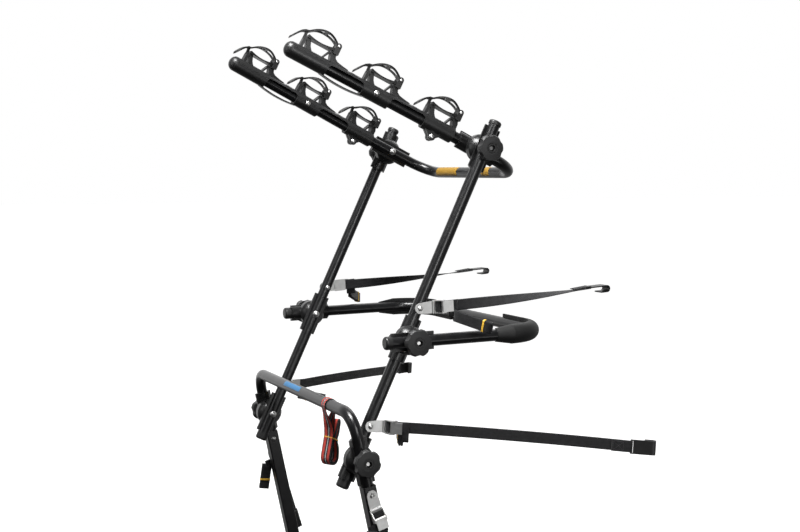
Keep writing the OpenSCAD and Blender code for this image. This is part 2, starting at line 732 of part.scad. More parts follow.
module u_path(d, cross_z, r, end_z, extra) {
    translate([0, 0, cross_z]) along_x() cylinder(d = d, h = 2 * (outer_x - r), center = true);
    both() {
        translate([outer_x - r, 0, cross_z - r]) bend(r, d, 0, 90);
        translate([outer_x, 0, end_z - extra]) cylinder(d = d, h = cross_z - r - end_z + extra);
    }
}
module middle_bar() {
    color([0.07, 0.07, 0.08]) window_frame() difference() {
        u_path(tube_d, window_reach, window_bend, -window_tail, 0);
        u_path(tube_d - 2 * tube_wall, window_reach, window_bend, -window_tail, over);
        along_x() cylinder(d = bolt_hole_d, h = 3 * outer_x, center = true);
    }
}
module middle_bar_caps() {
    color([0.1, 0.1, 0.1]) both() window_frame()
        translate([outer_x, 0, -window_tail]) mirror([0, 0, 1]) sleeve_cap(middle_cap_len);
}
module middle_joint_shells() {
    color([0.13, 0.13, 0.14]) both() window_frame()
        translate([outer_x, 0, 0]) rotate([0, 0, 180]) joint_half();
}
// Corner pads that rest on the window: half sleeves on the outer side of the bends
module pad_section() {
    difference() {
        circle(tube_r + pad_t);
        circle(tube_r + pad_fit);
        translate([-2 * tube_d - pad_back, -2 * tube_d]) square([2 * tube_d, 4 * tube_d]);
    }
}
// Tapered end of a pad, thinning out along +Z
module pad_end() {
    difference() {
        translate([0, 0, -pad_lap])
            cylinder(r1 = tube_r + pad_t - pad_step, r2 = tube_r + pad_edge, h = pad_taper + pad_lap);
        translate([0, 0, -over]) cylinder(r = tube_r + pad_fit + pad_step, h = pad_taper + 2 * over);
        translate([-2 * tube_d - pad_back + pad_step, -2 * tube_d, -over])
            cube([2 * tube_d, 4 * tube_d, pad_taper + 2 * over]);
    }
}
module window_pads() {
    color([0.06, 0.06, 0.06]) both() window_frame()
        translate([outer_x - window_bend, 0, window_reach - window_bend]) {
        translate([window_bend, 0, 0]) mirror([0, 0, 1]) pad_end();
        rotate([90, 0, 0]) rotate_extrude(angle = 90) translate([window_bend, 0]) pad_section();
        translate([0, 0, window_bend]) rotate([0, -90, 0]) linear_extrude(pad_run) pad_section();
    }
}

module lower_bar() {
    color([0.2, 0.2, 0.21]) lower_frame() difference() {
        u_path(tube_d, lower_rise, lower_bend, -leg_arm_end, 0);
        u_path(tube_d - 2 * tube_wall, lower_rise, lower_bend, -leg_arm_end, over);
        along_x() cylinder(d = bolt_hole_d, h = 3 * outer_x, center = true);
        translate([0, 0, -anchor_offset]) along_x()
            cylinder(d = anchor_bolt_d + 2 * bolt_fit, h = 3 * outer_x, center = true);
    }
}
module lower_joint_shells() {
    color([0.13, 0.13, 0.14]) both() lower_frame()
        translate([outer_x, 0, 0]) rotate([0, 0, 180]) joint_half();
}
module leg() {
    color([0.07, 0.07, 0.08]) lower_frame() translate([outer_x, 0, 0]) difference() {
        translate([0, 0, leg_foot - leg_drop])
            linear_extrude(leg_drop - leg_foot - leg_start) difference() {
            rounded_square(leg_size, leg_round);
            rounded_square(leg_inner, leg_round - leg_wall);
        }
        translate([0, 0, -anchor_offset]) along_x()
            cylinder(d = anchor_bolt_d + 2 * bolt_fit, h = 2 * leg_size, center = true);
    }
}
module leg_left() { on_left() leg(); }
module leg_right() { leg(); }
module leg_bolts() {
    both() lower_frame() translate([outer_x + (plate_t + side_gap) / 2, 0, -anchor_offset])
        through_bolt(anchor_bolt_d, anchor_head_d, anchor_head_h, leg_size + plate_t + 2 * side_gap);
}
// Rubber foot: a boot over the leg's end on a level sole
module foot_pads() {
    color([0.06, 0.06, 0.06]) both() difference() {
        union() {
            intersection() {
                lower_frame() translate([outer_x, 0, -leg_drop - foot_h]) linear_extrude(2 * foot_h)
                    rounded_square(leg_size + 2 * foot_wall, leg_round + foot_wall);
                translate([outer_x - leg_size, -2 * foot_h, 0])
                    cube([2 * leg_size, 4 * foot_h, 2 * foot_h]);
            }
            translate([outer_x, 0, 0]) linear_extrude(foot_sole[2]) intersection() {
                square([foot_sole[1], foot_sole[0]], center = true);
                rounded_square(foot_sole[0], sole_round);
            }
        }
        lower_frame() translate([outer_x, 0, leg_foot - leg_drop])
            linear_extrude(2 * foot_h) rounded_square(leg_size + 2 * tube_fit, leg_round + tube_fit);
        for (y = foot_grooves) translate([outer_x - foot_sole[0], y - foot_groove[0] / 2, -over])
            cube([2 * foot_sole[0], foot_groove[0], foot_groove[1] + over]);
    }
}

// Wound tie strap hung on the lower crossbar
module tie_strap() {
    top = low_pivot + lower_rise * [-sin(leg_tilt), cos(leg_tilt)];
    color([0.75, 0.12, 0.1]) translate([tie_x, top[0], top[1]]) rotate([90, 0, 90])
        linear_extrude(strap_w, center = true) polygon(ribbon(tie_path, strap_t));
}

// A strap's own frame: Z along the strap, X outward, Y square to both, at the anchor bolt on its seat
module strap_frame(kind) {
    if (kind == LOWER) lower_frame() translate([outer_x + leg_size / 2 + side_gap, 0, -anchor_offset])
        rotate([strap_kinds[kind][0] - 90 - leg_tilt, 0, 0]) children();
    else upright_frame()
        translate([upright_x + tube_r + side_gap, 0, anchor_offset + (kind == UPPER ? lower_to_middle : 0)])
        rotate([strap_kinds[kind][0] - 90 + upright_lean, 0, 0]) children();
}
// Behind the hinge bar the buckle, webbing and hook turn outward by the splay
module buckle_frame(kind) {
    strap_frame(kind) translate([hinge_bar_r, 0, hinge_bar_z])
        rotate([0, strap_kinds[kind][1], 0]) translate([-hinge_bar_r, 0, 0]) children();
}
// A strip's side view drawn as [along Z, along X], spread over a width in Y
module flat_side(w) {
    rotate([90, 0, 0]) rotate([0, 0, 90]) mirror([0, 1]) linear_extrude(w, center = true) children();
}

module buckle(kind) {
    color([0.72, 0.72, 0.72]) {
        strap_frame(kind) difference() {
            union() {
                along_x() linear_extrude(plate_t) {
                    circle(eye_r);
                    polygon([[0, -eye_r], [-eye_r - 3, -plate_w / 2], [-plate_len, -plate_w / 2],
                        [-plate_len, plate_w / 2], [-eye_r - 3, plate_w / 2], [0, eye_r]]);
                }
                translate([hinge_bar_r, 0, hinge_bar_z])
                    rotate([90, 0, 0]) cylinder(r = hinge_bar_r, h = plate_w, center = true);
            }
            along_x() translate([0, 0, -over])
                cylinder(d = anchor_bolt_d + 2 * turn_fit, h = plate_t + 2 * over);
        }
        buckle_frame(kind) difference() {
            union() {
                translate([0, -ear_in - ear_t, 0]) cube([base_t, 2 * (ear_in + ear_t), base_len]);
                for (s = [-1, 1]) translate([0, s * (ear_in + ear_t / 2), 0]) flat_side(ear_t)
                    polygon([[hinge_bar_r, 0], [base_len, 0], [base_len - 2, base_t + 4],
                        [cam_pin[0] + 5, ear_h], [cam_pin[0] - 5, ear_h], [hinge_bar_r, base_t + 4]]);
                translate([turn_bar[1], 0, turn_bar[0]])
                    rotate([90, 0, 0]) cylinder(r = turn_bar_r, h = 2 * ear_in + ear_t, center = true);
            }
            translate([cam_pin[1], 0, cam_pin[0]])
                rotate([90, 0, 0]) cylinder(r = cam_pin_r + turn_fit, h = 2 * plate_w, center = true);
        }
    }
}
// Cam lever: a cam on a pin between the ears, and a thumb plate over the webbing
module lever(kind) {
    color([0.8, 0.8, 0.8]) buckle_frame(kind) {
        translate([cam_pin[1], 0, cam_pin[0]]) rotate([90, 0, 0]) {
            cylinder(r = cam_r, h = 2 * (ear_in - lever_gap), center = true);
            cylinder(r = cam_pin_r, h = 2 * (ear_in + ear_t), center = true);
        }
        flat_side(2 * (ear_in - lever_gap))
            polygon([[cam_pin[0] - 2, cam_pin[1] + 1], [cam_pin[0] + lever_len, cam_pin[1] + cam_r - 1],
                [cam_pin[0] + lever_len, cam_pin[1] + cam_r - 1 + lever_t],
                [cam_pin[0] - 2, cam_pin[1] + cam_r]]);
    }
}
// Webbing: doubled round the hook's bar, taut to the buckle, round the buckle's bar, under the cam
// and out into a tail that is folded in runs
module strap(kind) {
    twist = strap_kinds[kind][2];
    end = strap_kinds[kind][3] - hinge_bar_z;
    run = end - doubled - tail_lead;
    start = strap_kinds[kind][5];
    round_buckle = concat([[tail_lead, strap_low]], arc(turn_bar, turn_r, 270, 90, 8),
        [[start[0], strap_high]]);
    round_hook = concat([[end - doubled, strap_low]], arc([end, strap_low + turn_r], turn_r, -90, 90, 8),
        [[end - doubled + lap_step, strap_high]]);
    color([0.08, 0.08, 0.09]) buckle_frame(kind) {
        flat_side(strap_w) polygon(ribbon(round_buckle, strap_t));
        translate([strap_low, 0, tail_lead - twist_grip])
            linear_extrude(run + 2 * twist_grip, twist = -twist, slices = twist_slices, $fn = 4)
            square([flap_t, flap_w], center = true);
        translate([strap_low, 0, 0]) rotate([0, 0, twist]) translate([-strap_low, 0, 0])
            flat_side(strap_w) polygon(ribbon(round_hook, strap_t));
        translate([strap_high - flap_t / 2, -flap_w / 2, start[0] - flap_w / 2])
            cube([flap_t, flap_w / 2 + start[1], flap_w]);
        translate([strap_high, start[1], start[0]]) rotate(strap_kinds[kind][6]) flat_side(strap_w)
            mirror([0, kind == SIDE ? 1 : 0])
            polygon(ribbon(tail_line(strap_kinds[kind][4], start[2]), strap_t));
    }
}
// Coated steel hook: a bar for the webbing, two side arms, a plate and a round return
module hook(kind) {
    end = strap_kinds[kind][3] - hinge_bar_z;
    bar_x = strap_low + turn_r;
    plate_z = turn_r + strap_t;
    tip_z = plate_z + hook_plate;
    color([0.06, 0.06, 0.06]) buckle_frame(kind)
        translate([strap_low, 0, 0]) rotate([0, 0, strap_kinds[kind][2]])
            translate([bar_x - strap_low, 0, end]) {
            rotate([90, 0, 0]) cylinder(r = hook_bar_r - layer_gap, h = hook_w, center = true);
            for (s = [-1, 1]) translate([-hook_t / 2, s * (hook_w - hook_arm_w) / 2 - hook_arm_w / 2,
                -hook_bar_r])
                cube([hook_t, hook_arm_w, plate_z + 2 * hook_bar_r]);
            flat_side(hook_w) mirror([0, strap_kinds[kind][7] > 0 ? 1 : 0]) {
                translate([plate_z, -hook_t / 2]) square([hook_plate, hook_t]);
                translate([tip_z, -hook_bend]) intersection() {
                    difference() { circle(hook_bend + hook_t / 2); circle(hook_bend - hook_t / 2); }
                    translate([0, -2 * hook_bend]) square([2 * hook_bend, 4 * hook_bend]);
                }
                translate([tip_z - hook_return, -2 * hook_bend - hook_t / 2]) square([hook_return, hook_t]);
            }
        }
}
module buckle_upper_left() { on_left() buckle(UPPER); }
module buckle_upper_right() { buckle(UPPER); }
module buckle_side_left() { on_left() buckle(SIDE); }
module buckle_side_right() { buckle(SIDE); }
module buckle_lower_left() { on_left() buckle(LOWER); }
module buckle_lower_right() { buckle(LOWER); }
module lever_upper_left() { on_left() lever(UPPER); }
module lever_upper_right() { lever(UPPER); }
module lever_side_left() { on_left() lever(SIDE); }
module lever_side_right() { lever(SIDE); }
module lever_lower_left() { on_left() lever(LOWER); }
module lever_lower_right() { lever(LOWER); }
module strap_upper_left() { on_left() strap(UPPER); }
module strap_upper_right() { strap(UPPER); }
module strap_side_left() { on_left() strap(SIDE); }
module strap_side_right() { strap(SIDE); }
module strap_lower_left() { on_left() strap(LOWER); }
module strap_lower_right() { strap(LOWER); }
module hook_upper_left() { on_left() hook(UPPER); }
module hook_upper_right() { hook(UPPER); }
module hook_side_left() { on_left() hook(SIDE); }
module hook_side_right() { hook(SIDE); }
module hook_lower_left() { on_left() hook(LOWER); }
module hook_lower_right() { hook(LOWER); }

// Knobs sit on the outer tube of each joint: the upright at the top, the bars' arms below
module knob_top_left() { on_left() knob_top_right(); }
module knob_top_right() { upright_frame() translate([upright_x, 0, pivots_up[2]]) knob(); }
module knob_middle_left() { on_left() knob_middle_right(); }
module knob_middle_right() { window_frame() translate([outer_x, 0, 0]) knob(); }
module knob_lower_left() { on_left() knob_lower_right(); }
module knob_lower_right() { lower_frame() translate([outer_x, 0, 0]) knob(); }

upright_left();
upright_right();
upright_end_caps();
upright_joint_shells();
upright_pivot_bolts();
strap_anchor_bolts();
top_bar();
cradle_beam_left();
cradle_beam_right();
cradle_saddles();
top_joint_shells();
top_pivot_bolts();
beam_bolts();
cradle_band_left_inner();
cradle_band_left_middle();
cradle_band_left_outer();
cradle_band_right_inner();
cradle_band_right_middle();
cradle_band_right_outer();
middle_bar();
middle_bar_caps();
middle_joint_shells();
window_pads();
lower_bar();
leg_left();
leg_right();
lower_joint_shells();
foot_pads();
leg_bolts();
tie_strap();
knob_top_left();
knob_top_right();
knob_middle_left();
knob_middle_right();
knob_lower_left();
knob_lower_right();
buckle_upper_left();
buckle_upper_right();
buckle_side_left();
buckle_side_right();
buckle_lower_left();
buckle_lower_right();
lever_upper_left();
lever_upper_right();
lever_side_left();
lever_side_right();
lever_lower_left();
lever_lower_right();
strap_upper_left();
strap_upper_right();
strap_side_left();
strap_side_right();
strap_lower_left();
strap_lower_right();
hook_upper_left();
hook_upper_right();
hook_side_left();
hook_side_right();
hook_lower_left();
hook_lower_right();
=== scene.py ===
"""Looks of a trunk mounted bike rack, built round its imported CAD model. Metres, in the part's frame."""

import json
import math

import bmesh
import bpy
from mathutils import Matrix, Vector


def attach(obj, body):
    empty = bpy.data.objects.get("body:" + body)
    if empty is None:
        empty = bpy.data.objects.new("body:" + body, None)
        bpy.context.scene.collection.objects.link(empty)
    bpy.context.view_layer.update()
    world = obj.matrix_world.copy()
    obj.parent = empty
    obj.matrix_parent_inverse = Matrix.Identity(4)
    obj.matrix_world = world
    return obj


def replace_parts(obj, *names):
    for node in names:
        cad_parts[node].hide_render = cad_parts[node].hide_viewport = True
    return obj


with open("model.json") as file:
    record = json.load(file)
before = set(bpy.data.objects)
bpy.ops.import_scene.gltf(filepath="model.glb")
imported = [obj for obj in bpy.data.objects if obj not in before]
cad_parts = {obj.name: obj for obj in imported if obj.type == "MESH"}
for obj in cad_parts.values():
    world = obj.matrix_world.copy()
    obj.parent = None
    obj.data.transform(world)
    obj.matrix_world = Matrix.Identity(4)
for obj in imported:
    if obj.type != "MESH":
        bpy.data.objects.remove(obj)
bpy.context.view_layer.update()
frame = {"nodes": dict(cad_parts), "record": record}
nodes = frame["nodes"]
scene = bpy.context.scene
MM = 0.001
SIDES = {"left": -1, "right": 1}


# Camera: at the place and angle that the photograph was taken from

CAMERA_PLACE = (2.93483, -1.1617, 1.0434)
CAMERA_AZIMUTH = 65.87
CAMERA_DROP = 4.14
CAMERA_LENS = 58.55
CAMERA_SENSOR = 36
CAMERA_REACH = 60


def camera_look():
    a = math.radians(CAMERA_AZIMUTH)
    e = math.radians(CAMERA_DROP)
    return Vector((-math.sin(a) * math.cos(e), math.cos(a) * math.cos(e), -math.sin(e)))


def make_camera():
    data = bpy.data.cameras.new("camera")
    data.lens = CAMERA_LENS
    data.sensor_width = CAMERA_SENSOR
    data.clip_end = CAMERA_REACH
    camera = bpy.data.objects.new("camera", data)
    scene.collection.objects.link(camera)
    camera.location = CAMERA_PLACE
    camera.rotation_mode = "QUATERNION"
    camera.rotation_quaternion = camera_look().to_track_quat("-Z", "Y")
    scene.camera = camera


make_camera()


# Materials. Sizes and depths of their detail are in metres

NOISE_LOW = 0.3
NOISE_HIGH = 0.7
FINE_BUMP = 0.00002


class Shader:
    """A Principled material whose colour, roughness and bump come from noise at a real scale."""

    def __init__(self, name, colour, roughness, metallic=0.0, specular=0.5):
        self.material = bpy.data.materials.new(name)
        self.material.use_nodes = True
        self.material.diffuse_color = (*colour, 1)
        self.tree = self.material.node_tree
        self.bsdf = self.tree.nodes["Principled BSDF"]
        self.set("Base Color", (*colour, 1))
        self.set("Roughness", roughness)
        self.set("Metallic", metallic)
        self.set("Specular IOR Level", specular)
        self.place = self.node("ShaderNodeTexCoord").outputs["Object"]
        self.height = None

    def set(self, socket, value):
        self.bsdf.inputs[socket].default_value = value

    def feed(self, socket, value):
        self.link(value, self.bsdf.inputs[socket])

    def node(self, kind, **values):
        made = self.tree.nodes.new(kind)
        for key, value in values.items():
            setattr(made, key, value)
        return made

    def link(self, a, b):
        self.tree.links.new(a, b)

    def noise(self, size, detail=3, stretch=(1, 1, 1)):
        """Noise with features of about the given size."""
        mapping = self.node("ShaderNodeMapping")
        mapping.inputs["Scale"].default_value = stretch
        self.link(self.place, mapping.inputs["Vector"])
        made = self.node("ShaderNodeTexNoise")
        made.inputs["Scale"].default_value = 1 / size
        made.inputs["Detail"].default_value = detail
        self.link(mapping.outputs["Vector"], made.inputs["Vector"])
        return made.outputs["Fac"]

    def ranged(self, value, low, high, start=NOISE_LOW, end=NOISE_HIGH):
        made = self.node("ShaderNodeMapRange")
        made.inputs["From Min"].default_value = start
        made.inputs["From Max"].default_value = end
        made.inputs["To Min"].default_value = low
        made.inputs["To Max"].default_value = high
        self.link(value, made.inputs["Value"])
        return made.outputs["Result"]

    def ramp(self, value, stops, interpolation="LINEAR"):
        made = self.node("ShaderNodeValToRGB")
        made.color_ramp.interpolation = interpolation
        elements = made.color_ramp.elements
        while len(elements) < len(stops):
            elements.new(0.5)
        for element, (at, colour) in zip(elements, stops):
            element.position = at
            element.color = (*colour, 1)
        self.link(value, made.inputs["Fac"])
        return made.outputs["Color"]

    def mottle(self, size, dark, light, detail=3):
        """Colour that varies between two tones over patches of the given size."""
        self.feed("Base Color", self.ramp(self.noise(size, detail), [(NOISE_LOW, dark), (NOISE_HIGH, light)]))

    def vary_roughness(self, size, low, high, stretch=(1, 1, 1)):
        self.feed("Roughness", self.ranged(self.noise(size, 4, stretch), low, high))

    def bump(self, value, depth, strength):
        """Relief from a value, on top of what the material already has."""
        made = self.node("ShaderNodeBump")
        made.inputs["Strength"].default_value = strength
        made.inputs["Distance"].default_value = depth
        self.link(value, made.inputs["Height"])
        if self.height:
            self.link(self.height, made.inputs["Normal"])
        self.height = made.outputs["Normal"]
        self.feed("Normal", self.height)


def gloss_paint(name):
    s = Shader(name, (0.006, 0.006, 0.0065), 0.2)
    s.mottle(0.02, (0.0045, 0.0045, 0.005), (0.008, 0.008, 0.0085))
    s.vary_roughness(0.04, 0.27, 0.32)
    s.bump(s.noise(0.006, 2), FINE_BUMP, 0.12)
    return s.material


def moulded_plastic(name, tone, roughness, grain):
    s = Shader(name, (tone, tone, tone * 1.02), roughness, specular=0.42)
    s.mottle(0.03, (tone * 0.9,) * 3, (tone * 1.1, tone * 1.1, tone * 1.13))
    s.vary_roughness(0.025, roughness - 0.03, roughness + 0.04)
    s.bump(s.noise(grain, 3), FINE_BUMP, 0.1)
    return s.material


def zinc(name, tone, roughness):
    s = Shader(name, (tone, tone, tone * 0.985), roughness, metallic=1.0)
    s.mottle(0.01, (tone * 0.93, tone * 0.93, tone * 0.915), (tone * 1.05, tone * 1.05, tone * 1.04), 4)
    s.vary_roughness(0.006, roughness - 0.05, roughness + 0.06, (1, 0.25, 1))
    s.bump(s.noise(0.0012, 3), FINE_BUMP, 0.08)
    return s.material


def rubber(name, tone, roughness):
    s = Shader(name, (tone, tone, tone), roughness, specular=0.38)
    s.mottle(0.025, (tone * 0.88,) * 3, (tone * 1.12,) * 3)
    s.vary_roughness(0.02, roughness - 0.04, roughness + 0.05)
    s.bump(s.noise(0.0015, 2), FINE_BUMP, 0.08)
    return s.material


# A wave texture of scale 1 has 3.18 bands in a metre
WAVE_BANDS = 3.18
WEAVE_RIB = 0.0013
WEAVE_DEPTH = 0.00035


def weave_of(s):
    """Woven ribs across a strip: u runs across the strip and v along it, both in metres."""
    uv = s.node("ShaderNodeTexCoord").outputs["UV"]
    waves = []
    for axis, size in (("Y", WEAVE_RIB), ("X", WEAVE_RIB * 1.3)):
        wave = s.node("ShaderNodeTexWave", wave_type="BANDS", bands_direction=axis)
        wave.inputs["Scale"].default_value = 1 / (size * WAVE_BANDS)
        wave.inputs["Distortion"].default_value = 0.6
        wave.inputs["Detail"].default_value = 1
        s.link(uv, wave.inputs["Vector"])
        waves.append(wave.outputs["Fac"])
    both = s.node("ShaderNodeMath", operation="MULTIPLY")
    s.link(waves[0], both.inputs[0])
    s.link(waves[1], both.inputs[1])
    s.bump(both.outputs["Value"], WEAVE_DEPTH, 0.8)
    return uv, both.outputs["Value"]


def webbing(name):
    s = Shader(name, (0.013, 0.013, 0.014), 0.72, specular=0.3)
    weave_height = weave_of(s)[1]
    # Painted shade: the colour follows the weave's height, so the low places between the woven ribs are
    # painted darker
    s.feed("Base Color", s.ramp(weave_height, [(0.0, (0.004, 0.004, 0.005)), (0.8, (0.015, 0.015, 0.016))]))
    s.vary_roughness(0.01, 0.62, 0.85)
    s.set("Sheen Weight", 0.18)
    s.set("Sheen Roughness", 0.5)
    return s.material


RED = (0.44, 0.04, 0.027)
DARK = (0.016, 0.015, 0.016)
PALE = (0.42, 0.42, 0.44)
# Share of the width at which each stripe begins
TIE_STRIPES = [
    (0.0, DARK), (0.08, RED), (0.33, DARK), (0.47, PALE), (0.54, DARK), (0.67, RED), (0.92, DARK),
]


def striped_webbing(name, width):
    s = Shader(name, RED, 0.7, specular=0.3)
    uv = weave_of(s)[0]
    parts = s.node("ShaderNodeSeparateXYZ")
    s.link(uv, parts.inputs["Vector"])
    across = s.ranged(parts.outputs["X"], 0, 1, -width / 2, width / 2)
    s.feed("Base Color", s.ramp(across, TIE_STRIPES, "CONSTANT"))
    s.vary_roughness(0.006, 0.6, 0.82)
    s.set("Sheen Weight", 0.15)
    return s.material


def elastic(name, colour):
    s = Shader(name, colour, 0.5)
    s.mottle(0.004, tuple(c * 0.8 for c in colour), tuple(min(1, c * 1.1) for c in colour))
    s.bump(s.noise(0.0008, 2), 3 * FINE_BUMP, 0.5)
    return s.material


def film(name, colour):
    s = Shader(name, colour, 0.55, specular=0.22)
    s.mottle(0.01, tuple(c * 0.9 for c in colour), tuple(min(1, c * 1.06) for c in colour))
    s.vary_roughness(0.008, 0.48, 0.62)
    return s.material


STRAP_W = 0.025
STRAP_T = 0.0015
looks = {
    "tube_paint": gloss_paint("tube_paint"),
    "cap_plastic": moulded_plastic("cap_plastic", 0.014, 0.4, 0.0009),
    "joint_plastic": moulded_plastic("joint_plastic", 0.011, 0.3, 0.0009),
    "beam_plastic": moulded_plastic("beam_plastic", 0.016, 0.36, 0.0009),
    "knob_plastic": moulded_plastic("knob_plastic", 0.021, 0.52, 0.0008),
    "bolt_zinc": zinc("bolt_zinc", 0.8, 0.36),
    "buckle_zinc": zinc("buckle_zinc", 0.72, 0.42),
    "band_rubber": rubber("band_rubber", 0.0055, 0.36),
    "pad_rubber": rubber("pad_rubber", 0.007, 0.6),
    "webbing": webbing("webbing"),
    "hook_coat": rubber("hook_coat", 0.014, 0.36),
    "tie_webbing": striped_webbing("tie_webbing", STRAP_W),
}
YELLOW_ELASTIC = elastic("yellow_elastic", (0.86, 0.5, 0.05))
BLUE_FILM = film("blue_film", (0.05, 0.17, 0.34))
YELLOW_FILM = film("yellow_film", (0.31, 0.175, 0.022))
THREAD = elastic("thread", (0.03, 0.03, 0.032))


def dress_nodes():
    for part in frame["record"]["subparts"]:
        mesh = nodes[part["node"]].data
        mesh.materials.clear()
        mesh.materials.append(looks[part["material_slot"]])


dress_nodes()


# Pieces, strips and lines

SECTION_STEPS = 4


def finished(bm, name):
    mesh = bpy.data.meshes.new(name)
    bm.to_mesh(mesh)
    bm.free()
    return mesh


def put(name, mesh, material, body):
    """A new piece of the rack that rides on a body."""
    made = bpy.data.objects.new(name, mesh)
    scene.collection.objects.link(made)
    mesh.materials.append(material)
    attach(made, body)
    return made


def section(width, thick):
    """A flat strip's outline with rounded selvages, as (across, up)."""
    h = thick / 2
    half = width / 2
    flat = [(half - h) * k / SECTION_STEPS for k in range(-SECTION_STEPS, SECTION_STEPS + 1)]
    edge = [(half - 0.3 * h, 0.7 * h), (half, 0), (half - 0.3 * h, -0.7 * h)]
    points = [(a, h) for a in flat] + edge
    return points + [(-a, -b) for a, b in points]


def strip_mesh(name, centres, across, width=STRAP_W, thick=STRAP_T, ring=False):
    """A strip along the centres, with its width along across. u and v hold metres across and along."""
    bm = bmesh.new()
    uv = bm.loops.layers.uv.new("UVMap")
    outline = section(width, thick)
    count = len(centres)
    rows = []
    along = [0.0]
    for i, centre in enumerate(centres):
        before = centres[i - 1] if i or ring else centre
        after = centres[(i + 1) % count] if ring or i + 1 < count else centre
        wide = across[i].normalized()
        up = wide.cross(after - before).normalized()
        rows.append([bm.verts.new(centre + wide * a + up * b) for a, b in outline])
        along.append(along[-1] + (after - centre).length)
    n = len(outline)
    for i in range(count if ring else count - 1):
        j = (i + 1) % count
        for k in range(n):
            m = (k + 1) % n
            face = bm.faces.new((rows[i][k], rows[i][m], rows[j][m], rows[j][k]))
            face.smooth = True
            for loop, (q, at) in zip(face.loops, ((k, i), (m, i), (m, i + 1), (k, i + 1))):
                loop[uv].uv = (outline[q][0], along[at])
    if not ring:
        bm.faces.new(rows[0])
        bm.faces.new(rows[-1])
    bmesh.ops.recalc_face_normals(bm, faces=bm.faces)
    return finished(bm, name)


def arc(centre, r, start, end, count):
    turns = [math.radians(start + (end - start) * i / count) for i in range(count + 1)]
    return [(centre[0] + r * math.cos(t), centre[1] + r * math.sin(t)) for t in turns]


def spaced(a, b, count):
    return [tuple(p + (q - p) * i / count for p, q in zip(a, b)) for i in range(count + 1)]


def rounded_loop(half_w, low, high, r):
    """A rectangle with rounded corners, from low to high."""
    mid, half_h = (low + high) / 2, (high - low) / 2
    loop = []
    for cx, cy, start in ((1, 1, 0), (-1, 1, 90), (-1, -1, 180), (1, -1, 270)):
        loop += arc((cx * (half_w - r), mid + cy * (half_h - r)), r, start, start + 90, 5)
    return loop


# Places of the pivots and strap anchors, millimetres, as in the CAD model

LEAN = math.radians(25.2)
LEG_TILT = math.radians(12)
LEG_DROP = 420
ANCHOR = 76
LOWER_TO_MIDDLE = 285
TUBE_R = 13.5
LEG_HALF = 15.25
SIDE_GAP = 0.3
UPRIGHT_X = 288.5
LEG_X = 334.5
UPRIGHT_FACE = UPRIGHT_X + TUBE_R + SIDE_GAP
LEG_FACE = LEG_X + LEG_HALF + SIDE_GAP
low_pivot = Vector((0, -LEG_DROP * math.sin(LEG_TILT), LEG_DROP * math.cos(LEG_TILT)))
up_upright = Vector((0, math.sin(LEAN), math.cos(LEAN)))
down_leg = Vector((0, math.sin(LEG_TILT), -math.cos(LEG_TILT)))


# Straps, millimetres. In a strap's own frame X points out, Y across and Z along it from the hinge bar

HINGE_BAR_R = 3
BAR_Z = 31.5
LOW = 3.15
HIGH = 8.45
TURN_R = 2.65
TURN_BAR = (9, 5.8)
RUN_GAP = 3
RUN_STEPS = 30
TAIL_LEAD = 56
DOUBLED = 42
LAP_CLOSE = 2.9
TAIL_LAYERS = 5
TAIL_PITCH = 2.2
STRAP_HALF = STRAP_W / MM / 2


class Kind:
    """One of the three pairs of straps, by the sizes that the CAD model has for it.

    start says where the folded tail begins: along the strap, aside, and the length before its first layer.
    turn tips the tail down and out, up is the side that it folds to, and band is the share of the tail's
    length at which its rubber band lies.
    """

    def __init__(self, anchor, slope, splay, twist, length, sag, tail, start, turn, band, up=1):
        self.anchor = anchor
        self.slope = math.radians(slope)
        self.splay = math.radians(splay)
        self.twist = math.radians(twist)
        self.end = length - BAR_Z
        self.sag = sag
        self.tail = tail
        self.start = start
        self.turn = turn
        self.band = band
        self.up = up

    def place(self, side):
        """The strap's frame, splayed about the buckle's hinge bar. The left one is mirrored."""
        z = Vector((0, math.cos(self.slope), math.sin(self.slope)))
        x = Vector((1, 0, 0))
        y = z.cross(x)
        axes = Matrix((x, y, z)).transposed().to_4x4()
        to_bar = Matrix.Translation((HINGE_BAR_R, 0, BAR_Z))
        turned = to_bar @ Matrix.Rotation(self.splay, 4, "Y") @ Matrix.Translation((-HINGE_BAR_R, 0, 0))
        mirror = Matrix.Scale(side, 4, (1, 0, 0))
        return Matrix.Scale(MM, 4) @ mirror @ Matrix.Translation(self.anchor) @ axes @ turned


KINDS = {
    "upper": Kind(
        Vector((UPRIGHT_FACE, 0, 0)) + low_pivot + up_upright * (LOWER_TO_MIDDLE + ANCHOR),
        slope=3.9, splay=0, twist=-90, length=440, sag=3,
        tail=100, start=(48, 22, 7), turn=(-17, 54), band=0.8,
    ),
    "side": Kind(
        Vector((UPRIGHT_FACE, 0, 0)) + low_pivot + up_upright * ANCHOR,
        slope=-3.2, splay=34, twist=0, length=575, sag=-3,
        tail=100, start=(46, 27, 0), turn=(0, -103), band=0.3, up=-1,
    ),
    "lower": Kind(
        Vector((LEG_FACE, 0, 0)) + low_pivot + down_leg * ANCHOR,
        slope=-73.5, splay=0, twist=0, length=220, sag=0,
        tail=64, start=(42, 27, 0), turn=(-25, 0), band=0.62,
    ),
}


def laid(place, points):
    """Points in a strap's frame, as places in the part's frame."""
    return [place @ Vector(p) for p in points]


def direction(place, v):
    return (place.to_3x3() @ Vector(v)).normalized()


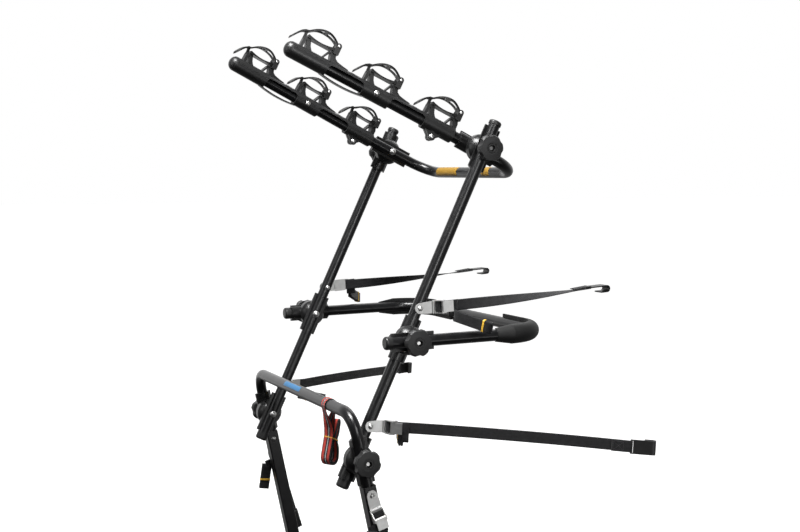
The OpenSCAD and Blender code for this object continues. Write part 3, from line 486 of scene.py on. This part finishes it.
def stretch(k, place):
    """The taut run from the buckle's bar to the hook's bar, as centres and widths."""
    run = k.end - DOUBLED - TAIL_LEAD
    along = [z for (z,) in spaced((TURN_BAR[0] + RUN_GAP,), (k.end,), RUN_STEPS)]
    centres = laid(place, [(LOW, 0, z) for z in along])
    across = []
    for i, z in enumerate(along):
        turn = k.twist * min(1, max(0, (z - TAIL_LEAD) / run))
        across.append(direction(place, (-math.sin(turn), math.cos(turn), 0)))
        t = i / RUN_STEPS
        centres[i].z -= 4 * k.sag * MM * t * (1 - t)
    c, s = math.cos(k.twist), math.sin(k.twist)
    for z, x in arc((k.end, TURN_R), TURN_R, -80, 60, 8):
        centres.append(place @ Vector((LOW + c * x, s * x, z)))
        across.append(direction(place, (-s, c, 0)))
    return centres, across


def lap_height(k, z):
    """How far the sewn end stands off the run, which it closes on with its distance from the hook."""
    return 2 * TURN_R - LAP_CLOSE * (k.end - z) / DOUBLED


def lap(k, place):
    """The sewn end of the webbing, from the hook's bar back on the run."""
    c, s = math.cos(k.twist), math.sin(k.twist)
    path = arc((k.end, TURN_R), TURN_R, 40, 90, 5)
    path += [(z, lap_height(k, z)) for (z,) in spaced((k.end - 3,), (k.end - DOUBLED,), 9)]
    centres = [place @ Vector((LOW + c * x, s * x, z)) for z, x in path]
    return centres, [direction(place, (-s, c, 0))] * len(path)


STITCH = 3
STITCH_GAP = 0.15
STITCH_R = 0.35
STITCH_UP = 0.85
SEWN_HALF = 9
SEWN_FROM = 4
SEWN_TO = 16


def stitches(k, place):
    """Thread of the lap's sewn box: a line along each edge and a cross between them."""
    c, s = math.cos(k.twist), math.sin(k.twist)
    far, near, w = k.end - DOUBLED + SEWN_FROM, k.end - SEWN_TO, SEWN_HALF
    corners = [(far, -w), (near, -w), (near, w), (far, w), (far, -w), (near, w), (near, -w), (far, w)]
    bm = bmesh.new()
    for (z0, y0), (z1, y1) in zip(corners, corners[1:]):
        count = max(2, round(math.hypot(z1 - z0, y1 - y0) / STITCH))
        for i in range(count):
            ends = []
            for t in ((i + STITCH_GAP) / count, (i + 1 - STITCH_GAP) / count):
                z = z0 + (z1 - z0) * t
                y = y0 + (y1 - y0) * t
                x = lap_height(k, z) + STITCH_UP
                ends.append(place @ Vector((LOW + c * x - s * y, s * x + c * y, z)))
            d = ends[1] - ends[0]
            turn = d.to_track_quat("Z", "Y").to_matrix().to_4x4()
            bmesh.ops.create_cone(
                bm, cap_ends=True, segments=6, radius1=STITCH_R * MM, radius2=STITCH_R * MM, depth=d.length,
                matrix=Matrix.Translation((ends[0] + ends[1]) / 2) @ turn,
            )
    return finished(bm, "stitches")


def lead(k, place):
    """The free end's way round the buckle's bar and out under the cam."""
    bar_z = TURN_BAR[0]
    path = spaced((bar_z + 3.2, LOW), (bar_z + 0.5, LOW), 2)
    path += arc(TURN_BAR, TURN_R, 268, 92, 12)
    path += spaced((bar_z + 0.5, HIGH), (k.start[0] + STRAP_HALF - 0.3, HIGH), 6)
    return laid(place, [(x, 0, z) for z, x in path]), [direction(place, (0, 1, 0))] * len(path)


def folded(run):
    """Side view of a folded tail: runs of slightly uneven length, joined by half turns."""
    path = []
    for i in range(TAIL_LAYERS):
        near = -0.6 * (i % 3)
        far = run - 0.8 * ((i + 1) % 3)
        ends = [(near, i * TAIL_PITCH), (far, i * TAIL_PITCH)]
        turn_from = -90
        if i % 2:
            ends.reverse()
            turn_from = 270
        path += spaced(*ends, 8)
        if i + 1 < TAIL_LAYERS:
            centre = (ends[1][0], (i + 0.5) * TAIL_PITCH)
            path += arc(centre, TAIL_PITCH / 2, turn_from, 90, 6)[1:-1]
    return path


def hank_frame(k, place):
    down, out = (math.radians(a) for a in k.turn)
    start = Matrix.Translation((HIGH, k.start[1], k.start[0]))
    return place @ start @ Matrix.Rotation(out, 4, "Y") @ Matrix.Rotation(down, 4, "X")


def hank(k, place):
    """The folded tail, as centres and widths."""
    inner = hank_frame(k, place)
    first = k.start[2]
    path = [(z + first, x) for z, x in folded(k.tail - first)]
    if first:
        path = [(0, 0)] + path
    return laid(inner, [(k.up * x, 0, z) for z, x in path]), [direction(inner, (0, 1, 0))] * len(path)


FLAP_SIDE = 0.35
FLAP_OVER = 4
FLAP_T = STRAP_T * 0.96


def flap(k, place):
    """The webbing's corner where the lead turns aside into the folded tail."""
    points = spaced((FLAP_SIDE - STRAP_HALF,), (k.start[1] + FLAP_OVER,), 8)
    centres = laid(place, [(HIGH, y, k.start[0]) for (y,) in points])
    return centres, [direction(place, (0, 0, 1))] * len(points)


BAND_W = 0.0045
BAND_T = 0.0013
BAND_ASIDE = 0.8
BAND_OVER = 1.6
BAND_CORNER = 2.5
BAND_SLANT = 0.05


def band_round(k, place):
    """A rubber band round the folded tail."""
    inner = hank_frame(k, place)
    high = (TAIL_LAYERS - 1) * TAIL_PITCH + BAND_OVER
    loop = rounded_loop(STRAP_HALF + BAND_ASIDE, -BAND_OVER, high, BAND_CORNER)
    points = [(k.up * b, a, k.band * k.tail + BAND_SLANT * a) for a, b in loop]
    return laid(inner, points), [direction(inner, (0, 0, 1))] * len(points)


def make_strap(kind, side):
    k = KINDS[kind]
    place = k.place(SIDES[side])
    body = f"{kind}_strap_{side}"
    name = f"webbing_{kind}_{side}"
    black = looks["webbing"]
    centres, across = stretch(k, place)
    run = put(name, strip_mesh(name, centres, across), black, body)
    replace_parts(run, f"strap_{kind}_{side}")
    for label, (c, w), thick in (
        ("lap", lap(k, place), STRAP_T),
        ("lead", lead(k, place), STRAP_T),
        ("flap", flap(k, place), FLAP_T),
        ("tail", hank(k, place), STRAP_T),
    ):
        part = f"{name}_{label}"
        put(part, strip_mesh(part, c, w, thick=thick), black, body)
    c, w = band_round(k, place)
    part = f"{name}_band"
    put(part, strip_mesh(part, c, w, BAND_W, BAND_T, ring=True), YELLOW_ELASTIC, body)
    put(f"{name}_stitches", stitches(k, place), THREAD, body)


for kind in KINDS:
    for side in SIDES:
        make_strap(kind, side)


# Tie strap wound into a hank on the lower crossbar, millimetres and degrees

TIE_X = 190
TIE_HANG = 76
TIE_FORK = 54
TIE_TURNS = 4
TIE_EYE = 20
TIE_LEN = 115
TIE_LOOP_R = TUBE_R + SIDE_GAP + STRAP_T / MM / 2
TIE_HEAD_R = 1.5
TIE_END = 8
TIE_STEPS = 24
TIE_STEP_LEN = 6
TIE_PINCH = 0.28
TIE_WAIST = 14
TIE_LEAN = 23
TIE_LEAN_MORE = 9
TIE_SWING = 41
TIE_SWING_MORE = 7
TIE_SWING_OVER = 20
TIE_SWING_FROM = 14
LOWER_RISE = 106
lower_bar_at = (low_pivot + Vector((0, -math.sin(LEG_TILT), math.cos(LEG_TILT))) * LOWER_RISE) * MM


def tie_turned(y, z, turn):
    """A place below the crossbar, swung about the vertical, with the strip's width there."""
    ahead = Vector((-math.sin(turn), math.cos(turn), 0))
    across = Vector((math.cos(turn), math.sin(turn), 0))
    return lower_bar_at + (Vector((TIE_X, 0, z)) + ahead * y) * MM, across


def tie_hank_point(y, z):
    """A point of the hank from its waist: pinched there, its head leaning more than its foot."""
    y *= 1 - TIE_PINCH * math.exp(-((z / TIE_WAIST) ** 2))
    lean = math.radians(TIE_LEAN + TIE_LEAN_MORE * math.tanh(z / TIE_WAIST))
    turn = math.radians(TIE_SWING + TIE_SWING_MORE * math.tanh(z / TIE_SWING_OVER))
    c, s = math.cos(lean), math.sin(lean)
    return tie_turned(-TAIL_PITCH / 2 + c * y + s * z, -TIE_HANG + c * z - s * y, turn)


def tie_hank():
    """The wound turns, from the innermost out to the waist."""
    foot_r = TIE_EYE / 2
    grow = TIE_TURNS * TAIL_PITCH
    rise = TIE_LEN - 2 * grow - TIE_HEAD_R - foot_r - STRAP_T / MM
    waist = (-(foot_r + TIE_HEAD_R) / 2 - grow, rise / 2)
    steps = TIE_TURNS * TIE_STEPS
    line = []
    for i in range(steps + 1):
        a = math.radians(180 + (steps - i) * 360 / TIE_STEPS)
        head = rise * math.sin(a) + TIE_HEAD_R > foot_r
        r = (TIE_HEAD_R if head else foot_r) + TAIL_PITCH * i / TIE_STEPS
        line.append((r * math.cos(a) - waist[0], (rise if head else 0) + r * math.sin(a) - waist[1]))
    dense = []
    for p, q in zip(line, line[1:]):
        dense += spaced(p, q, max(1, round(math.dist(p, q) / TIE_STEP_LEN)))[:-1]
    return [tie_hank_point(*p) for p in dense + line[-1:]]


def tie_loop():
    """From the hank's waist up, round the crossbar and down to the free end."""
    wrap = math.degrees(math.acos(TIE_LOOP_R / TIE_FORK))
    half = TAIL_PITCH / 2
    line = spaced((-half, -TIE_HANG), (-half, -TIE_FORK), 4)[1:]
    round_bar = arc((0, 0), TIE_LOOP_R, 270 - wrap, wrap - 90, 28)
    line += spaced(line[-1], round_bar[0], 6)[1:] + round_bar[1:]
    line += spaced(line[-1], (half, -TIE_FORK), 6)[1:]
    line += spaced((half, -TIE_FORK), (half, -TIE_FORK - TIE_END), 2)[1:]
    made = []
    for y, z in line:
        share = min(1, max(0, (-TIE_SWING_FROM - z) / (TIE_FORK - TIE_SWING_FROM)))
        made.append(tie_turned(y, z, math.radians(TIE_SWING) * share * share * (3 - 2 * share)))
    return made


TIE_BAND_W = 0.0035
TIE_BAND_LOW = -1.7
TIE_BAND_HIGH = 23.2
TIE_BAND_CORNER = 3
TIE_BAND_SLANT = -0.12


def tie_band():
    """A rubber band round the hank's waist."""
    points = []
    for a, b in rounded_loop(STRAP_HALF + BAND_ASIDE, TIE_BAND_LOW, TIE_BAND_HIGH, TIE_BAND_CORNER):
        place, across = tie_hank_point(b / (1 - TIE_PINCH), TIE_BAND_SLANT * a)
        points.append(place + across * a * MM)
    return points


def make_tie_strap():
    line = tie_hank() + tie_loop()
    mesh = strip_mesh("tie_webbing", [p for p, _ in line], [w for _, w in line])
    tie = put("tie_webbing", mesh, looks["tie_webbing"], "lower_support")
    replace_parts(tie, "tie_strap")
    band = tie_band()
    mesh = strip_mesh("tie_band", band, [Vector((0, 0, 1))] * len(band), TIE_BAND_W, BAND_T, ring=True)
    put("tie_band", mesh, YELLOW_ELASTIC, "lower_support")


make_tie_strap()


# Rubber bands of the cradles, with the heads of the pins that they turn on, millimetres from the pin

BULGE = 6.5
BULGE_FROM = 6
BULGE_TO = 63
BULGE_POWER = 1.4
RAIL_IN = 5.5
PIN_HALF = 15.45
# Rings of a pin's head, as radius and height
PIN_HEAD = [(3.4, 0.0), (3.3, 0.5), (2.7, 1.0), (1.5, 1.35)]
PIN_HEAD_TOP = 1.45
PIN_STEPS = 24


def bulged(name, node, hinge, axis, ahead):
    """A band's mesh with its two rails spread apart between the hinge and the peg."""
    mesh = nodes[node].data.copy()
    mesh.name = name
    mesh.materials.clear()
    for v in mesh.vertices:
        aside = (v.co - hinge).dot(axis) / MM
        share = ((v.co - hinge).dot(ahead) / MM - BULGE_FROM) / (BULGE_TO - BULGE_FROM)
        if 0 < share < 1:
            spread = BULGE * MM * math.sin(math.pi * share) ** BULGE_POWER
            v.co += axis * spread * max(-1, min(1, aside / RAIL_IN))
    return mesh


def pin_heads(name, hinge, axis):
    """A low domed head at each end of a hinge pin."""
    bm = bmesh.new()
    for end in (axis, -axis):
        turn = end.to_track_quat("Z", "Y")
        foot = hinge + end * PIN_HALF * MM
        rings = []
        for r, up in PIN_HEAD:
            spots = arc((0, 0), r, 0, 360, PIN_STEPS)[:-1]
            rings.append([bm.verts.new(foot + turn @ Vector((x, y, up)) * MM) for x, y in spots])
        top = bm.verts.new(foot + end * PIN_HEAD_TOP * MM)
        bm.faces.new(rings[0][::-1])
        for i in range(PIN_STEPS):
            j = (i + 1) % PIN_STEPS
            for low, high in zip(rings, rings[1:]):
                bm.faces.new((low[i], low[j], high[j], high[i])).smooth = True
            bm.faces.new((rings[-1][i], rings[-1][j], top)).smooth = True
    return finished(bm, name)


def make_bands(side):
    joints = {j["child"]: j for j in frame["record"]["behaviour"]["joints"]}
    hinges = {row: Vector(joints[f"band_{side}_{row}"]["pos_m"]) for row in ("inner", "middle", "outer")}
    ahead = (hinges["outer"] - hinges["inner"]).normalized()
    for row, hinge in hinges.items():
        body = f"band_{side}_{row}"
        axis = Vector(joints[body]["axis"]).normalized()
        name = f"{body}_rubber"
        mesh = bulged(name, f"cradle_{body}", hinge, axis, ahead)
        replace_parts(put(name, mesh, looks["band_rubber"], body), f"cradle_{body}")
        name = f"{body}_pin_heads"
        put(name, pin_heads(name, hinge, axis), looks["bolt_zinc"], body)


for side in SIDES:
    make_bands(side)


# Plain colour films on the tubes

FILM_T = 0.0002
FILM_UP = 0.12
FILM_STEPS = 24
top_bar_at = Vector((0, 0.34767, 1.04169))


def tube_film(name, centre, ends, turns, material, body):
    """A thin film on a tube along X, between two places along it and two angles from +Y up."""
    middle = centre + Vector(((ends[0] + ends[1]) / 2, 0, 0))
    spots = arc((0, 0), (TUBE_R + FILM_UP) * MM, *turns, FILM_STEPS)
    points = [middle + Vector((0, y, z)) for y, z in spots]
    mesh = strip_mesh(name, points, [Vector((1, 0, 0))] * len(points), ends[1] - ends[0], FILM_T)
    put(name, mesh, material, body)


tube_film("blue_film", lower_bar_at, (-0.09, 0.02), (108, 165), BLUE_FILM, "lower_support")
tube_film("yellow_film_wide", top_bar_at, (-0.172, -0.054), (92, 218), YELLOW_FILM, "carrier")
tube_film("yellow_film_narrow", top_bar_at, (0.082, 0.12), (92, 218), YELLOW_FILM, "carrier")


# Floor, world and light

FLOOR_SIZE = 40
FLOOR_GLOW = 0.86
WHITE = (1, 1, 1, 1)
WORLD_DIM = 0.08
WORLD_BRIGHT = 0.9
WORLD_BELOW = 0.25
# Each light's name, place, target, size and power
LIGHTS = [
    ("overhead", (0.7, -0.7, 3.0), (0, 0.1, 0.7), (1.1, 1.0), 140),
    ("low", (2.6, 1.0, 0.1), (0.35, 0, 0.3), (1.4, 0.3), 6),
    ("strip", (3.0, -0.15, 1.55), (0.2, 0.1, 0.8), (0.45, 1.6), 28),
    ("rear", (0.2, -3.0, 1.9), (0.1, 0, 0.8), (0.6, 1.6), 9),
    ("wall", (-3.2, -0.1, 0.7), (0, 0, 0.7), (2.8, 2.4), 13),
    ("sky", (-1.6, 1.4, 2.6), (0, 0.2, 0.8), (1.6, 1.2), 12),
]


def make_floor():
    bm = bmesh.new()
    bmesh.ops.create_grid(bm, x_segments=1, y_segments=1, size=FLOOR_SIZE)
    mesh = finished(bm, "floor")
    floor = bpy.data.objects.new("floor", mesh)
    scene.collection.objects.link(floor)
    s = Shader("floor", (0.4, 0.4, 0.4), 0.8, specular=0.1)
    s.mottle(0.5, (0.4, 0.4, 0.4), (0.42, 0.42, 0.42))
    s.set("Emission Color", WHITE)
    s.set("Emission Strength", FLOOR_GLOW)
    mesh.materials.append(s.material)
    floor.visible_diffuse = False
    floor.visible_glossy = False


def make_world():
    """White to look at. As light it is bright behind the rack, as a wall is, and dim in front and below."""
    world = bpy.data.worlds.new("studio")
    world.use_nodes = True
    tree = world.node_tree
    make = tree.nodes.new
    join = tree.links.new

    def ranged(value, start, end, low, high):
        made = make("ShaderNodeMapRange")
        for socket, number in (("From Min", start), ("From Max", end), ("To Min", low), ("To Max", high)):
            made.inputs[socket].default_value = number
        join(value, made.inputs["Value"])
        return made.outputs["Result"]

    place = make("ShaderNodeTexCoord").outputs["Generated"]
    facing = make("ShaderNodeVectorMath")
    facing.operation = "DOT_PRODUCT"
    facing.inputs[1].default_value = camera_look()
    join(place, facing.inputs[0])
    height = make("ShaderNodeSeparateXYZ")
    join(place, height.inputs["Vector"])
    light = make("ShaderNodeMath")
    light.operation = "MULTIPLY"
    join(ranged(facing.outputs["Value"], -0.2, 0.8, WORLD_DIM, WORLD_BRIGHT), light.inputs[0])
    join(ranged(height.outputs["Z"], -0.45, 0.1, WORLD_BELOW, 1), light.inputs[1])
    lit = tree.nodes["Background"]
    lit.inputs["Color"].default_value = WHITE
    join(light.outputs["Value"], lit.inputs["Strength"])
    seen = make("ShaderNodeBackground")
    seen.inputs["Color"].default_value = WHITE
    mix = make("ShaderNodeMixShader")
    join(make("ShaderNodeLightPath").outputs["Is Camera Ray"], mix.inputs["Fac"])
    join(lit.outputs["Background"], mix.inputs[1])
    join(seen.outputs["Background"], mix.inputs[2])
    join(mix.outputs["Shader"], tree.nodes["World Output"].inputs["Surface"])
    scene.world = world


def area_light(name, place, target, size, power):
    data = bpy.data.lights.new(name, "AREA")
    data.shape = "RECTANGLE"
    data.size, data.size_y = size
    data.energy = power
    light = bpy.data.objects.new(name, data)
    scene.collection.objects.link(light)
    light.location = place
    light.rotation_mode = "QUATERNION"
    light.rotation_quaternion = (Vector(target) - Vector(place)).to_track_quat("-Z", "Y")


scene.view_settings.view_transform = "Standard"
make_floor()
make_world()
for row in LIGHTS:
    area_light(*row)
